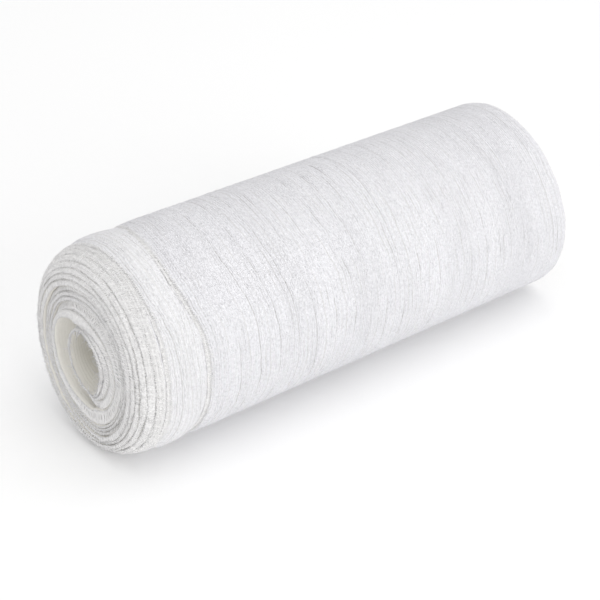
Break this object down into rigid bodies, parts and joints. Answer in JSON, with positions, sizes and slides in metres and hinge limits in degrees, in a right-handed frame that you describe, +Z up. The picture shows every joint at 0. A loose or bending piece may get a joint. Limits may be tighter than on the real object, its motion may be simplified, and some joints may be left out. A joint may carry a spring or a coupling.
{
  "type": "rolled elastic bandage",
  "caption": "White elastic bandage wound into a roll on its side, with loosened turns at one end and a hollow middle.",
  "frame": {"origin": "middle of the base, where the roll lies on a surface", "axes": "+X along the roll's axis to the far, even end; -X to the near end with the loosened turns; the picture is taken from the side of -X and -Y; +Z up"},
  "size_m": [0.1196, 0.046, 0.0451],
  "materials": {
    "white_elastic_cloth": "matte white cotton weave, softly ribbed"
  },
  "bodies": {
    "root": {"bandage_roll": "white_elastic_cloth"}
  },
  "joints": []
}
